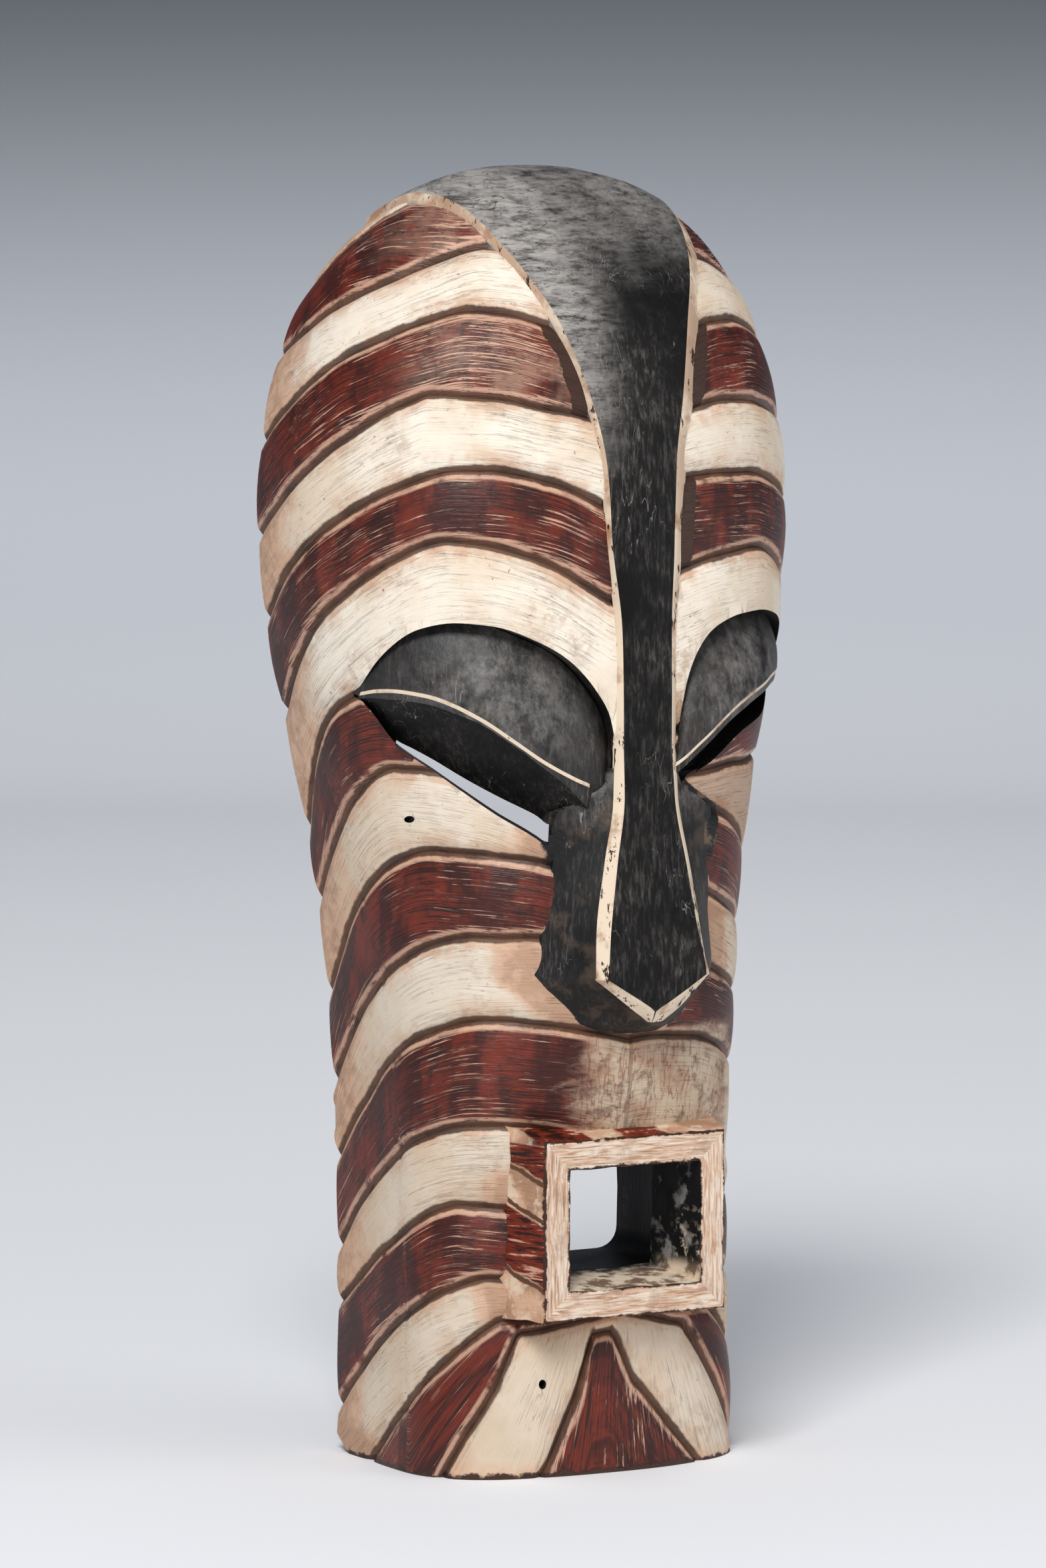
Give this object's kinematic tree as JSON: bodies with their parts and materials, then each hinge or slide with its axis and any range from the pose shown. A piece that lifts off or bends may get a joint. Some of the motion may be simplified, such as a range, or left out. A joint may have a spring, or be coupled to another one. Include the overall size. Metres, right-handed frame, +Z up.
{
  "type": "songye kifwebe mask",
  "caption": "Tall hollow wooden face mask with carved stripes, a crest running into the nose, slit eyes and a square jutting mouth; it stands on its flat chin or hangs.",
  "frame": {"origin": "middle of the bounding box on the ground, under the flat-cut chin the mask stands on", "axes": "+Z up along the face, -Y out of the face towards the viewer, +X to the viewer's right; the open hollow back faces +Y"},
  "size_m": [0.2178, 0.1356, 0.5198],
  "materials": {
    "mask": "matt painted wood, striped in cream and red-brown, with a black crest, nose and eyes"
  },
  "bodies": {
    "root": {"mask": "mask"}
  },
  "joints": []
}
